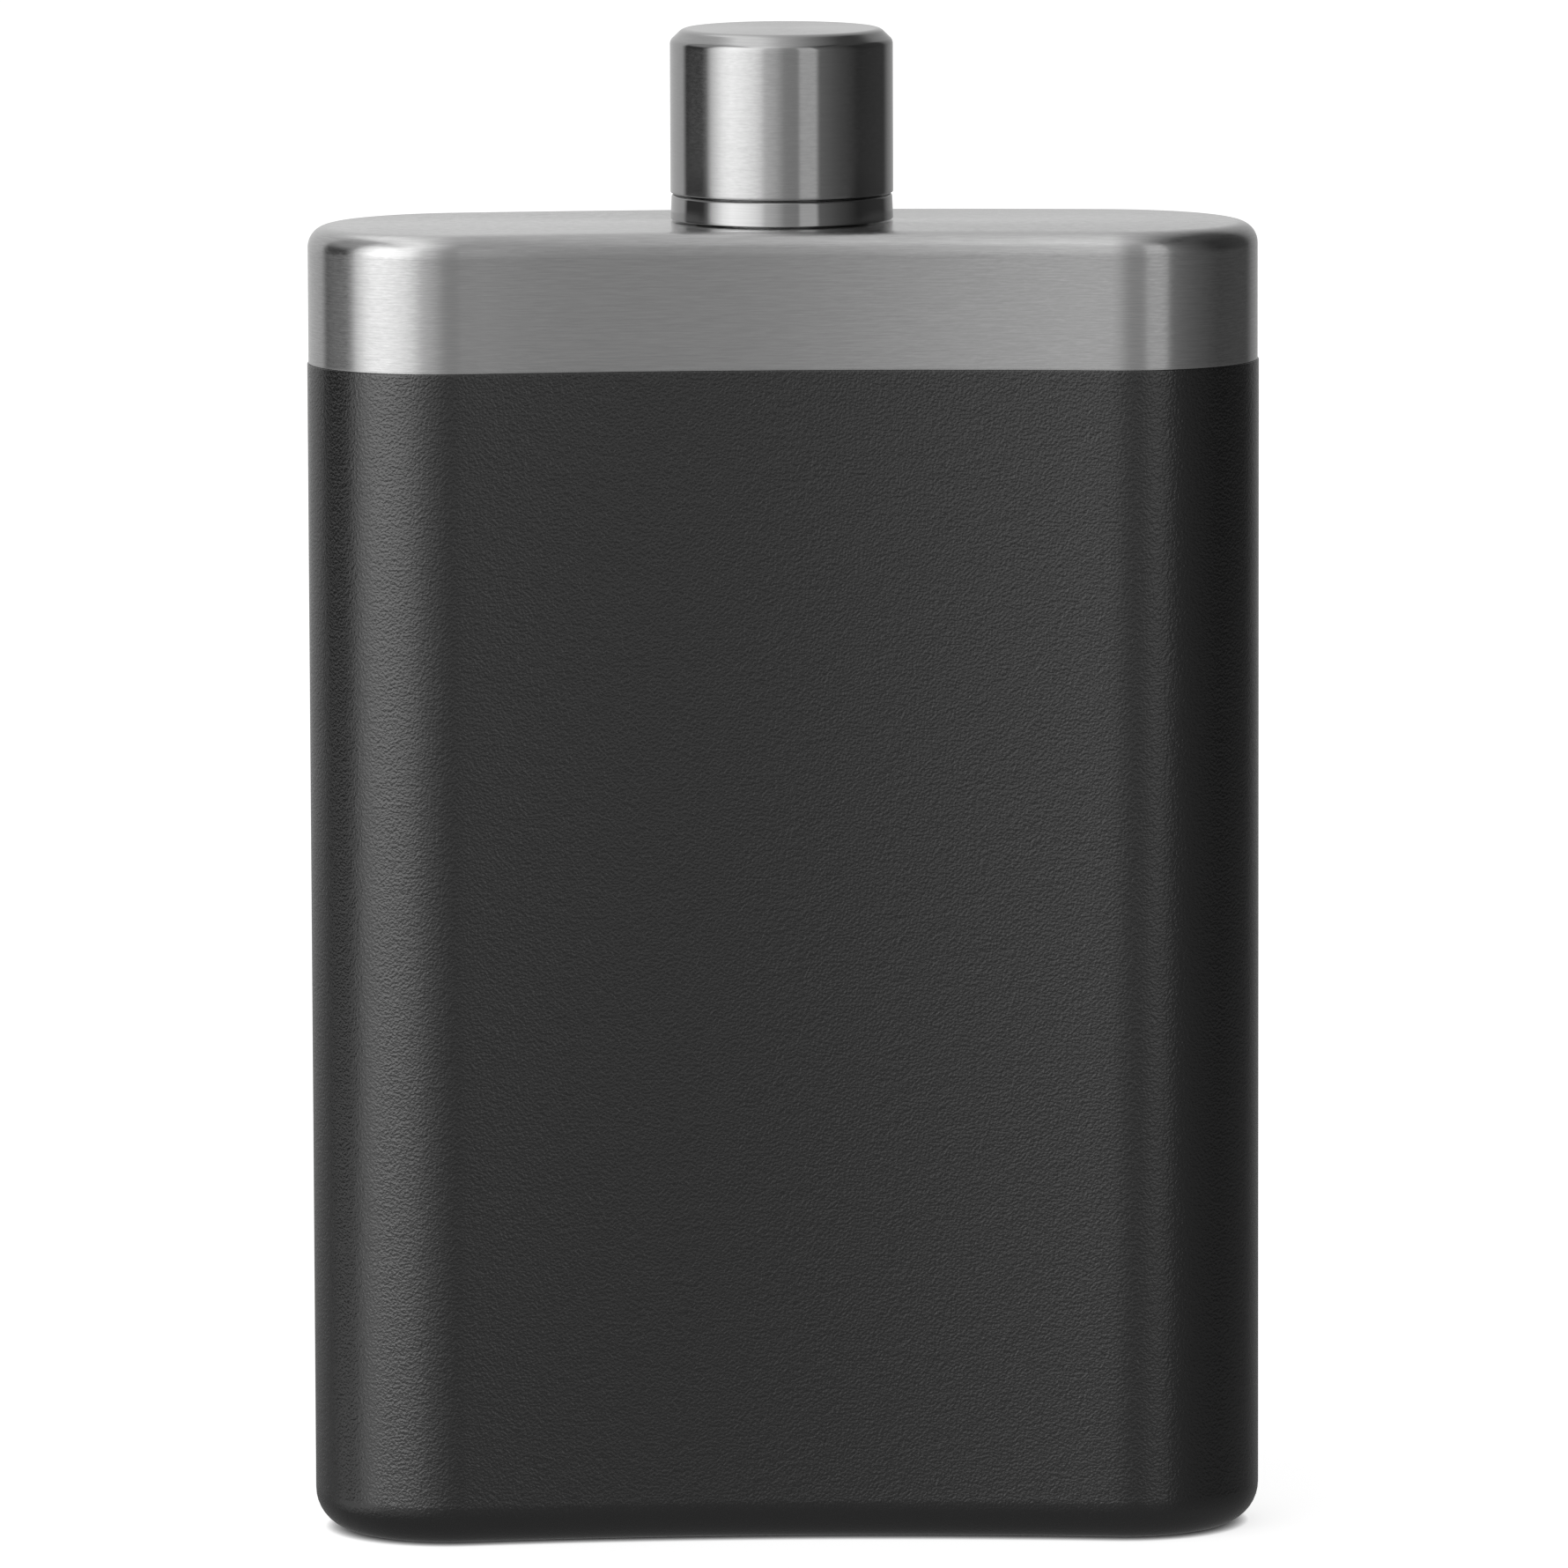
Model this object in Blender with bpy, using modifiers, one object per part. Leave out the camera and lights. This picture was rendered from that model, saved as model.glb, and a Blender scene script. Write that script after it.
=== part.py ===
"""A steel hip flask: a curved, powder-coated body, a bare steel shoulder and a screw cap on a threaded neck.

Lengths are in metres and +Z is up. The hollow front face looks along -Y and the round back face along +Y.
The origin lies under the middle of the flask, on the surface that it stands on.
"""

import math

import bmesh
import bpy

# Body, seen from above: two round ends joined by a hollow front face and a round back face
BODY_WIDTH = 0.090
BODY_THICKNESS = 0.028
FRONT_RADIUS = 0.2235
FRONT_CORNER_RADIUS = 0.0128
BODY_HEIGHT = 0.1245
SHOULDER_HEIGHT = 0.0129
TOP_EDGE_RADIUS = 0.0020
BASE_EDGE_RADIUS = 0.0038
STANDING_RIM_WIDTH = 0.0020

# Sheet steel, its coating, and the gaps where pieces meet
SHEET = 0.0008
COATING = 0.00012
FIT_GAP = 0.0003
SEAM_GAP = 0.0001
SPIGOT_DEPTH = 0.0050

# Pressed panel in the base plate
PANEL_MARGIN = 0.0035
PANEL_SLOPE = 0.0015
PANEL_RISE = 0.0010

# Neck and the collar round its foot
NECK_BORE_RADIUS = 0.0066
NECK_WALL = 0.00125
NECK_HEIGHT = 0.0139
NECK_LIP_RADIUS = 0.0005
NECK_FLANGE_WIDTH = 0.0018
COLLAR_HEIGHT = 0.00215
COLLAR_DRAFT = 0.00022
COLLAR_CHAMFER = 0.0003

# Cap: steel shell, plastic liner and ring seal
THREAD_HEIGHT = 0.0007
THREAD_CLEARANCE = 0.0003
LINER_WALL = 0.0008
LINER_ROOF = 0.0012
LINER_SETBACK = 0.0005
LINER_EDGE_RADIUS = 0.0008
SEAL_THICKNESS = 0.0016
CAP_WALL = 0.0006
CAP_BEVEL_HEIGHT = 0.00115
CAP_BEVEL_ANGLE = 46
CAP_EDGE_RADIUS = 0.0010
CAP_LIP_RADIUS = 0.0004
CAP_STANDOFF = 0.00025

# Fineness of round stretches, and limits in the meshes
CORNER_SEGMENTS = 8
FACE_SEGMENTS = 8
ROUND_SEGMENTS = 5
TURN_STEPS = 48
SHARP_ANGLE = 35
MERGE_DISTANCE = 0.00001
DRILL_DEPTH = 8 * SHEET

# Both faces bend round one hub in front of the flask, and each end is a front corner and a back corner.
# The corners of an end have their centres at one depth, so that they meet where the body is widest.
HALF_WIDTH = BODY_WIDTH / 2
BACK_RADIUS = FRONT_RADIUS + BODY_THICKNESS
FRONT_CORNER_X = HALF_WIDTH - FRONT_CORNER_RADIUS
FRONT_SWEEP = math.asin(FRONT_CORNER_X / (FRONT_RADIUS + FRONT_CORNER_RADIUS))
CORNER_REACH = (FRONT_RADIUS + FRONT_CORNER_RADIUS) * math.cos(FRONT_SWEEP)
BACK_CORNER_RADIUS = (BACK_RADIUS**2 - HALF_WIDTH**2 - CORNER_REACH**2) / (2 * BACK_RADIUS - BODY_WIDTH)
BACK_CORNER_X = HALF_WIDTH - BACK_CORNER_RADIUS
BACK_SWEEP = math.asin(BACK_CORNER_X / (BACK_RADIUS - BACK_CORNER_RADIUS))

# The hub lies where the middle of the overall depth is at the origin
HUB_Y = -(BACK_RADIUS + CORNER_REACH - FRONT_CORNER_RADIUS) / 2
CORNER_Y = HUB_Y + CORNER_REACH
NECK_Y = HUB_Y + (FRONT_RADIUS + BACK_RADIUS) / 2

# Heights and walls of the body
SEAM_Z = BODY_HEIGHT - SHOULDER_HEIGHT
BODY_WALL = SHEET + COATING

# Radii and heights that follow from the neck outwards and upwards
NECK_RADIUS = NECK_BORE_RADIUS + NECK_WALL
NECK_HOLE_RADIUS = NECK_RADIUS + FIT_GAP
LINER_BORE_RADIUS = NECK_RADIUS + THREAD_HEIGHT + THREAD_CLEARANCE
LINER_RADIUS = LINER_BORE_RADIUS + LINER_WALL
CAP_RADIUS = LINER_RADIUS + FIT_GAP + CAP_WALL
COLLAR_TOP_Z = FIT_GAP + COLLAR_HEIGHT
CAP_BOTTOM_Z = COLLAR_TOP_Z + CAP_STANDOFF
SEAL_BOTTOM_Z = NECK_HEIGHT + FIT_GAP
LINER_ROOF_Z = SEAL_BOTTOM_Z + SEAL_THICKNESS + FIT_GAP
LINER_TOP_Z = LINER_ROOF_Z + LINER_ROOF
CAP_TOP_Z = LINER_TOP_Z + FIT_GAP + CAP_WALL


def clear_scene():
    for old in list(bpy.data.objects):
        bpy.data.objects.remove(old, do_unlink=True)


def new_collection(name):
    collection = bpy.data.collections.new(name)
    bpy.context.scene.collection.children.link(collection)
    return collection


def new_material(name, colour, roughness, metallic):
    material = bpy.data.materials.new(name)
    material.use_nodes = True
    shader = material.node_tree.nodes["Principled BSDF"]
    shader.inputs["Base Color"].default_value = (*colour, 1.0)
    shader.inputs["Roughness"].default_value = roughness
    shader.inputs["Metallic"].default_value = metallic
    return material


def add_object(name, mesh, collection, parent, material):
    piece = bpy.data.objects.new(name, mesh)
    collection.objects.link(piece)
    piece.parent = parent
    if material:
        mesh.materials.append(material)
    return piece


def add_axis(name, collection, place):
    axis = bpy.data.objects.new(name, None)
    axis.location = place
    collection.objects.link(axis)
    return axis


def arc(centre, radius, start, end, segments=ROUND_SEGMENTS):
    """Points of a round stretch in a (across, up) plane, from one angle to another, both in degrees."""
    across, up = centre
    points = []
    for step in range(segments + 1):
        angle = math.radians(start + (end - start) * step / segments)
        points.append((across + radius * math.cos(angle), up + radius * math.sin(angle)))
    return points


def section(inset):
    """The flask's outline from above, moved in by inset, anticlockwise from the front face's left end."""
    hub = (0, HUB_Y)
    front_sweep = math.degrees(FRONT_SWEEP)
    back_sweep = math.degrees(BACK_SWEEP)
    front_corner = FRONT_CORNER_RADIUS - inset
    back_corner = BACK_CORNER_RADIUS - inset
    stretches = [
        arc(hub, FRONT_RADIUS + inset, 90 + front_sweep, 90 - front_sweep, FACE_SEGMENTS),
        arc((FRONT_CORNER_X, CORNER_Y), front_corner, -90 - front_sweep, 0, CORNER_SEGMENTS),
        arc((BACK_CORNER_X, CORNER_Y), back_corner, 0, 90 - back_sweep, CORNER_SEGMENTS),
        arc(hub, BACK_RADIUS - inset, 90 - back_sweep, 90 + back_sweep, FACE_SEGMENTS),
        arc((-BACK_CORNER_X, CORNER_Y), back_corner, 90 + back_sweep, 180, CORNER_SEGMENTS),
        arc((-FRONT_CORNER_X, CORNER_Y), front_corner, 180, 270 + front_sweep, CORNER_SEGMENTS),
    ]
    return [point for stretch in stretches for point in stretch[:-1]]


def swept_skin(profile, filled):
    """A skin made by carrying (inset, height) pairs round the section, with its last ring filled or open."""
    skin = bmesh.new()
    station = skin.verts.layers.int.new("station")
    inset, height = profile[0]
    ring = [skin.verts.new((x, y, height)) for x, y in section(inset)]
    for number, corner in enumerate(ring):
        corner[station] = number
    edges = [skin.edges.new(pair) for pair in zip(ring, ring[1:] + ring[:1])]
    for inset, height in profile[1:]:
        grown = bmesh.ops.extrude_edge_only(skin, edges=edges)["geom"]
        corners = {item for item in grown if isinstance(item, bmesh.types.BMVert)}
        lines = [item for item in grown if isinstance(item, bmesh.types.BMEdge)]
        edges = [line for line in lines if corners.issuperset(line.verts)]
        outline = section(inset)
        for corner in corners:
            corner.co = (*outline[corner[station]], height)
    if filled:
        bmesh.ops.edgeloop_fill(skin, edges=edges)
    bmesh.ops.recalc_face_normals(skin, faces=skin.faces)
    return skin


def finish_mesh(name, skin):
    mesh = bpy.data.meshes.new(name)
    skin.to_mesh(mesh)
    skin.free()
    mesh.shade_smooth()
    mesh.set_sharp_from_angle(angle=math.radians(SHARP_ANGLE))
    return mesh


def thicken(piece, thickness):
    """Gives a skin its wall, on the inner side."""
    wall = piece.modifiers.new("Wall", "SOLIDIFY")
    wall.thickness = thickness
    wall.offset = -1
    wall.use_even_offset = True
    wall.use_quality_normals = True


def turned(name, profile, collection, parent, material):
    """A ring or cup turned from (radius, height) pairs, a closed loop unless they start on the axis."""
    mesh = bpy.data.meshes.new(name)
    count = len(profile)
    closed = profile[0][0] > 0
    edges = [(step, (step + 1) % count) for step in range(count if closed else count - 1)]
    mesh.from_pydata([(radius, 0, height) for radius, height in profile], edges, [])
    piece = add_object(name, mesh, collection, parent, material)
    screw = piece.modifiers.new("Turn", "SCREW")
    screw.axis = "Z"
    screw.angle = 2 * math.pi
    screw.steps = TURN_STEPS
    screw.render_steps = TURN_STEPS
    screw.use_merge_vertices = True
    screw.merge_threshold = MERGE_DISTANCE
    screw.use_smooth_shade = True
    return piece


def make_body_sleeve(collection, parent, material):
    """The coated wall, open at the top and drawn in round its foot to a flat standing rim."""
    radius = BASE_EDGE_RADIUS
    foot = arc((radius, radius), radius, 180, 270)
    profile = [(0, SEAM_Z - SEAM_GAP)] + foot + [(radius + STANDING_RIM_WIDTH, 0)]
    mesh = finish_mesh("body_sleeve", swept_skin(profile, filled=False))
    sleeve = add_object("body_sleeve", mesh, collection, parent, material)
    thicken(sleeve, BODY_WALL)


def make_base_plate(collection, parent, material):
    """The pressed plate that lies on the sleeve's rim from inside and closes the foot."""
    bottom = BODY_WALL + FIT_GAP
    fillet = BASE_EDGE_RADIUS - BODY_WALL
    reach = math.sqrt(fillet**2 - (fillet - FIT_GAP) ** 2)
    edge = BASE_EDGE_RADIUS - reach + FIT_GAP
    profile = [
        (edge, bottom),
        (edge + PANEL_MARGIN, bottom),
        (edge + PANEL_MARGIN + PANEL_SLOPE, bottom + PANEL_RISE),
    ]
    mesh = finish_mesh("base_plate", swept_skin(profile, filled=True))
    for face in mesh.polygons:
        face.flip()
    plate = add_object("base_plate", mesh, collection, parent, material)
    thicken(plate, SHEET)


def make_shoulder(collection, cutters, parent, material):
    """The bare steel top, with a round upper edge, a neck hole and a spigot that fits the sleeve's mouth."""
    spigot = BODY_WALL + FIT_GAP
    radius = TOP_EDGE_RADIUS
    brow = arc((COATING + radius, BODY_HEIGHT - radius), radius, 180, 90)
    profile = [(spigot, SEAM_Z - SPIGOT_DEPTH), (spigot, SEAM_Z), (COATING, SEAM_Z)] + brow
    mesh = finish_mesh("shoulder", swept_skin(profile, filled=True))
    shoulder = add_object("shoulder", mesh, collection, parent, material)
    thicken(shoulder, SHEET)

    drill = bmesh.new()
    bmesh.ops.create_cone(
        drill,
        cap_ends=True,
        segments=TURN_STEPS,
        radius1=NECK_HOLE_RADIUS,
        radius2=NECK_HOLE_RADIUS,
        depth=DRILL_DEPTH,
    )
    cutter = add_object("neck_hole_cutter", finish_mesh("neck_hole_cutter", drill), cutters, parent, None)
    cutter.location = (0, NECK_Y, BODY_HEIGHT)
    cutter.display_type = "WIRE"
    cutter.hide_render = True
    hole = shoulder.modifiers.new("Neck hole", "BOOLEAN")
    hole.operation = "DIFFERENCE"
    hole.object = cutter


def make_neck(collection, parent, material):
    """The spout: a lipped tube that stands in the shoulder's hole, with a weld flange under the sheet."""
    lip = NECK_LIP_RADIUS
    flange_top = -SHEET - FIT_GAP
    flange_radius = NECK_HOLE_RADIUS + NECK_FLANGE_WIDTH
    outer_lip = arc((NECK_RADIUS - lip, NECK_HEIGHT - lip), lip, 90, 0)
    inner_lip = arc((NECK_BORE_RADIUS + lip, NECK_HEIGHT - lip), lip, 180, 90)
    foot = [
        (NECK_RADIUS, flange_top),
        (flange_radius, flange_top),
        (flange_radius, flange_top - SHEET),
        (NECK_BORE_RADIUS, flange_top - SHEET),
    ]
    turned("neck", outer_lip + foot + inner_lip, collection, parent, material)


def make_neck_collar(collection, parent, material):
    """The bright ring round the neck's foot, as wide as the cap and drawn in a little towards it."""
    top_radius = CAP_RADIUS - COLLAR_DRAFT
    profile = [
        (top_radius - COLLAR_CHAMFER, COLLAR_TOP_Z),
        (top_radius, COLLAR_TOP_Z - COLLAR_CHAMFER),
        (CAP_RADIUS, FIT_GAP),
        (NECK_HOLE_RADIUS, FIT_GAP),
        (NECK_HOLE_RADIUS, COLLAR_TOP_Z),
    ]
    turned("neck_collar", profile, collection, parent, material)


def make_cap_shell(collection, parent, material):
    """The drawn steel cup that shows as the cap, bevelled round its top."""
    edge = CAP_EDGE_RADIUS
    lip = CAP_LIP_RADIUS
    lean = math.radians(CAP_BEVEL_ANGLE)
    bore = CAP_RADIUS - CAP_WALL
    crease = CAP_TOP_Z - CAP_BEVEL_HEIGHT
    inner_crease = crease - CAP_WALL * math.tan(lean / 2)
    setback = (edge + (CAP_BEVEL_HEIGHT - edge) * math.sin(lean)) / math.cos(lean)
    centre = (CAP_RADIUS - setback, CAP_TOP_Z - edge)
    outer_edge = arc(centre, edge, 90, CAP_BEVEL_ANGLE)
    outer_lip = arc((CAP_RADIUS - lip, CAP_BOTTOM_Z + lip), lip, 0, -90)
    inner_edge = arc(centre, edge - CAP_WALL, CAP_BEVEL_ANGLE, 90)
    profile = [(0, CAP_TOP_Z)] + outer_edge + [(CAP_RADIUS, crease)] + outer_lip
    profile += [(bore, CAP_BOTTOM_Z), (bore, inner_crease)] + inner_edge + [(0, CAP_TOP_Z - CAP_WALL)]
    turned("cap_shell", profile, collection, parent, material)


def make_cap_liner(collection, parent, material):
    """The moulded plastic cup pressed into the shell, whose bore takes the neck's thread."""
    edge = LINER_EDGE_RADIUS
    bottom = CAP_BOTTOM_Z + LINER_SETBACK
    shoulder = arc((LINER_RADIUS - edge, LINER_TOP_Z - edge), edge, 90, 0)
    profile = [(0, LINER_TOP_Z)] + shoulder + [(LINER_RADIUS, bottom), (LINER_BORE_RADIUS, bottom)]
    profile += [(LINER_BORE_RADIUS, LINER_ROOF_Z), (0, LINER_ROOF_Z)]
    turned("cap_liner", profile, collection, parent, material)


def make_cap_seal(collection, parent, material):
    """The soft ring under the liner's roof, which closes on the neck's lip."""
    outer = LINER_BORE_RADIUS - FIT_GAP
    top = SEAL_BOTTOM_Z + SEAL_THICKNESS
    profile = [
        (outer, top),
        (outer, SEAL_BOTTOM_Z),
        (NECK_BORE_RADIUS, SEAL_BOTTOM_Z),
        (NECK_BORE_RADIUS, top),
    ]
    turned("cap_seal", profile, collection, parent, material)


def main():
    clear_scene()
    flask = new_collection("hip_flask")
    cutters = new_collection("cutters")
    coated = new_material("black_powder_coat", (0.026, 0.026, 0.027), 0.5, 0.0)
    brushed = new_material("brushed_steel", (0.56, 0.56, 0.56), 0.3, 1.0)
    bright = new_material("bright_steel", (0.62, 0.62, 0.62), 0.15, 1.0)
    plastic = new_material("liner_plastic", (0.03, 0.03, 0.03), 0.5, 0.0)
    silicone = new_material("seal_silicone", (0.45, 0.45, 0.44), 0.6, 0.0)

    body = add_axis("body_axis", flask, (0, 0, 0))
    make_body_sleeve(flask, body, coated)
    make_base_plate(flask, body, brushed)
    make_shoulder(flask, cutters, body, brushed)

    neck = add_axis("neck_axis", flask, (0, NECK_Y, BODY_HEIGHT))
    make_neck(flask, neck, bright)
    make_neck_collar(flask, neck, bright)

    cap = add_axis("cap_axis", flask, (0, NECK_Y, BODY_HEIGHT))
    make_cap_shell(flask, cap, brushed)
    make_cap_liner(flask, cap, plastic)
    make_cap_seal(flask, cap, silicone)


main()
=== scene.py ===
"""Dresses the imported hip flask: fine surfaces, finishes, a plain studio and the camera."""

import math

import bmesh
import bpy
from bpy.props import FloatProperty, FloatVectorProperty, PointerProperty
from bpy.types import Operator, Panel, PropertyGroup
from mathutils import Matrix, Vector


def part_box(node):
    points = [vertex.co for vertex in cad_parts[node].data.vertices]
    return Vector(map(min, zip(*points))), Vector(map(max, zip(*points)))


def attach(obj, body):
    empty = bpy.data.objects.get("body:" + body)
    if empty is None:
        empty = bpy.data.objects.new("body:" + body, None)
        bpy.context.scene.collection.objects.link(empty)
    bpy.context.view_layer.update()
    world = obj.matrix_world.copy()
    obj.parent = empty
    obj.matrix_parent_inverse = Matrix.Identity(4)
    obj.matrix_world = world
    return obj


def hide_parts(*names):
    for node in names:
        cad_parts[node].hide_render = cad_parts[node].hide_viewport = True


bl_info = {
    "name": "Hip Flask",
    "version": (1, 0, 0),
    "blender": (4, 5, 0),
    "location": "View3D > Sidebar > Flask",
    "description": "Models a coated steel hip flask with a screw cap, piece by piece",
    "category": "Add Mesh",
}

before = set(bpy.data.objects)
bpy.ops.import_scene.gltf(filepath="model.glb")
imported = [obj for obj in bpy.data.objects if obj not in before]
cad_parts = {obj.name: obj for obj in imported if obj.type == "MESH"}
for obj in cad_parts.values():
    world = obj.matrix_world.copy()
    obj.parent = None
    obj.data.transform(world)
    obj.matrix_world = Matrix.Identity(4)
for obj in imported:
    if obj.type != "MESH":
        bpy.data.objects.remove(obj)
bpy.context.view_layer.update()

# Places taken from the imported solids
SLEEVE_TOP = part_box("body_sleeve")[1].z
PLATE_LOW, PLATE_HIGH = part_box("base_plate")
SHOULDER_LOW, SHOULDER_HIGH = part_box("shoulder")
NECK_LOW, NECK_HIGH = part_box("neck")
COLLAR_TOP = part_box("neck_collar")[1].z
CAP_LOW, CAP_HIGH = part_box("cap_shell")
LINER_LOW, LINER_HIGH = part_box("cap_liner")
SEAL_LOW, SEAL_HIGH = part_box("cap_seal")
NECK_Y = (CAP_LOW.y + CAP_HIGH.y) / 2

# Fineness of the swept and turned surfaces, and the largest angle that is shaded smooth
FACE_STEPS = 28
END_STEPS = 64
TURN_STEPS = 160
ROUND_STEPS = 10
SMOOTH_ANGLE = math.radians(30)

# Points beside a rounded corner: how far past it they lie, and how many times their reach a side has to be
SUPPORT = 0.0002
SUPPORT_ROOM = 1.5

# Points closer than this become one
MERGE = 0.000002

# Threads: height of the neck's thread above the collar, turns on the neck and in the liner, depth sunk into
# the wall, share of the height left at an end, and turns over which an end runs out
THREAD_START = 0.0022
NECK_TURNS = 2.4
LINER_TURNS = 2.0
THREAD_SINK = 0.0001
THREAD_STUB = 0.02
THREAD_RUN_OUT = 0.25

# Slits that show as fine dark lines: over the sleeve, under the collar, and between collar and cap
SEAM_SLIT = 0.00002
FOOT_SLIT = 0.00018
CAP_SLIT = 0.00003

# Base plate: flat margin round its edge, width of the step to its panel, and radius of the bends
PLATE_MARGIN = 0.0035
PLATE_STEP = 0.0015
PLATE_BEND = 0.0006

# Shoulder: width of the flat that is swept round its top before the middle is filled
FLAT_MARGIN = 0.0015

# Radii of small edges
SEAM_EDGE = 0.00003
COLLAR_EDGE = 0.00008
KEEN_EDGE = 0.0001
BROKEN_EDGE = 0.0002
CREASE_EDGE = 0.00028
ROUND_EDGE = 0.0003
LIP_EDGE = 0.0005


class FlaskSizes(PropertyGroup):
    """Sizes of the flask's pieces."""

    body_width: FloatProperty(
        name="Body width", description="Across both round ends", default=0.090, unit="LENGTH"
    )
    body_thickness: FloatProperty(
        name="Body thickness",
        description="From the hollow face to the round face",
        default=0.028,
        unit="LENGTH",
    )
    front_radius: FloatProperty(
        name="Front radius",
        description="Radius of the hollow front face",
        default=0.2235,
        unit="LENGTH",
    )
    front_corner: FloatProperty(
        name="Front corner",
        description="Radius from the front face into an end",
        default=0.0128,
        unit="LENGTH",
    )
    top_edge: FloatProperty(
        name="Top edge",
        description="Radius of the shoulder's upper edge",
        default=0.0020,
        unit="LENGTH",
    )
    base_edge: FloatProperty(
        name="Base edge", description="Radius round the foot", default=0.0038, unit="LENGTH"
    )
    rim_width: FloatProperty(
        name="Rim width",
        description="Width of the flat rim that the flask stands on",
        default=0.0020,
        unit="LENGTH",
    )
    sheet: FloatProperty(
        name="Sheet", description="Thickness of the steel sheet", default=0.0008, unit="LENGTH"
    )
    coating: FloatProperty(
        name="Coating",
        description="Thickness of the powder coating",
        default=0.00012,
        unit="LENGTH",
    )
    fit_gap: FloatProperty(
        name="Fit gap", description="Gap between pieces that fit", default=0.0003, unit="LENGTH"
    )
    neck_bore: FloatProperty(
        name="Neck bore", description="Radius of the mouth", default=0.0066, unit="LENGTH"
    )
    neck_wall: FloatProperty(
        name="Neck wall", description="Wall of the neck", default=0.00125, unit="LENGTH"
    )
    thread_lead: FloatProperty(
        name="Thread lead", description="Rise of the thread in a turn", default=0.003, unit="LENGTH"
    )
    thread_height: FloatProperty(
        name="Thread height",
        description="How far a thread stands out",
        default=0.0007,
        unit="LENGTH",
    )
    thread_foot: FloatProperty(
        name="Thread foot",
        description="Width of a thread where it meets its wall",
        default=0.0014,
        unit="LENGTH",
    )
    thread_crest: FloatProperty(
        name="Thread crest",
        description="Width of a thread at its crest",
        default=0.0005,
        unit="LENGTH",
    )
    cap_bevel: FloatProperty(
        name="Cap bevel",
        description="Height of the leaning band under the cap's top",
        default=0.00115,
        unit="LENGTH",
    )
    cap_lean: FloatProperty(
        name="Cap lean",
        description="How far that band leans in",
        default=math.radians(46),
        subtype="ANGLE",
    )
    cap_edge: FloatProperty(
        name="Cap edge", description="Radius of the cap's upper edge", default=0.0010, unit="LENGTH"
    )
    cap_lip: FloatProperty(
        name="Cap lip", description="Radius of the cap's lower edge", default=0.0001, unit="LENGTH"
    )
    cap_wall: FloatProperty(
        name="Cap wall", description="Wall of the cap's shell", default=0.0006, unit="LENGTH"
    )
    collar_draft: FloatProperty(
        name="Collar draft",
        description="How much narrower the collar is at its top",
        default=0.0001,
        unit="LENGTH",
    )
    collar_chamfer: FloatProperty(
        name="Collar chamfer",
        description="Bevel on the collar's upper edge",
        default=0.0003,
        unit="LENGTH",
    )
    liner_edge: FloatProperty(
        name="Liner edge",
        description="Radius of the liner's upper edge",
        default=0.0008,
        unit="LENGTH",
    )


class FlaskFinishes(PropertyGroup):
    """Colours of the flask's finishes."""

    coat: FloatVectorProperty(
        name="Coat",
        description="Black powder coating",
        subtype="COLOR",
        default=(0.005, 0.005, 0.0052),
        min=0,
        max=1,
    )
    brushed: FloatVectorProperty(
        name="Brushed steel",
        description="Shoulder and base",
        subtype="COLOR",
        default=(0.73, 0.73, 0.73),
        min=0,
        max=1,
    )
    cap: FloatVectorProperty(
        name="Cap steel",
        description="Shell of the cap",
        subtype="COLOR",
        default=(0.58, 0.58, 0.58),
        min=0,
        max=1,
    )
    bright: FloatVectorProperty(
        name="Bright steel",
        description="Collar and neck",
        subtype="COLOR",
        default=(0.53, 0.53, 0.53),
        min=0,
        max=1,
    )
    liner: FloatVectorProperty(
        name="Liner",
        description="Moulded liner of the cap",
        subtype="COLOR",
        default=(0.03, 0.03, 0.031),
        min=0,
        max=1,
    )
    seal: FloatVectorProperty(
        name="Seal",
        description="Silicone ring",
        subtype="COLOR",
        default=(0.55, 0.55, 0.53),
        min=0,
        max=1,
    )


class FlaskStage(PropertyGroup):
    """Camera and floor of the studio."""

    distance: FloatProperty(
        name="Distance",
        description="From the neck's axis to the camera, on plan",
        default=1.308,
        unit="LENGTH",
    )
    height: FloatProperty(
        name="Height", description="Camera above the floor", default=0.2374, unit="LENGTH"
    )
    pitch: FloatProperty(
        name="Pitch", description="Camera's tilt down", default=0.1268, subtype="ANGLE"
    )
    turn: FloatProperty(
        name="Turn", description="Camera's walk round to the left", default=0.0245, subtype="ANGLE"
    )
    roll: FloatProperty(name="Roll", description="Tilt of the picture", default=0.0036, subtype="ANGLE")
    lens: FloatProperty(
        name="Lens",
        description="Focal length on a 36 mm sensor",
        default=318.1,
        subtype="DISTANCE_CAMERA",
    )
    floor_size: FloatProperty(
        name="Floor size", description="Side of the floor", default=6.0, unit="LENGTH"
    )
    # Reach of the ambient occlusion that dims the floor's glow: a painted contact shadow where the flask
    # stands
    painted_shadow_reach: FloatProperty(
        name="Contact reach",
        description="Width of the dark line where the flask stands",
        default=0.001,
        unit="LENGTH",
    )


def sizes():
    return bpy.context.scene.flask_sizes


def finishes():
    return bpy.context.scene.flask_finishes


def neck_radius():
    return sizes().neck_bore + sizes().neck_wall


def on_front(inset, height):
    """A point of a profile drawn at the middle of the front face, inset from the body's outline."""
    return Vector((0, NECK_Y - sizes().body_thickness / 2 + inset, height))


def on_axis(radius, height):
    """A point of a profile drawn beside the neck's axis."""
    return Vector((radius, NECK_Y, height))


def start_drawing(name, place):
    """Adds a mesh of one point and leaves it selected in edit mode."""
    bpy.ops.object.select_all(action="DESELECT")
    bpy.ops.mesh.primitive_plane_add(size=0.001)
    piece = bpy.context.object
    piece.name = name
    piece.data.name = name
    bpy.ops.object.mode_set(mode="EDIT")
    bpy.ops.mesh.select_mode(type="VERT")
    bpy.ops.mesh.select_all(action="SELECT")
    bpy.ops.mesh.merge(type="CENTER")
    bpy.ops.transform.translate(value=place)
    return piece


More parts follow.
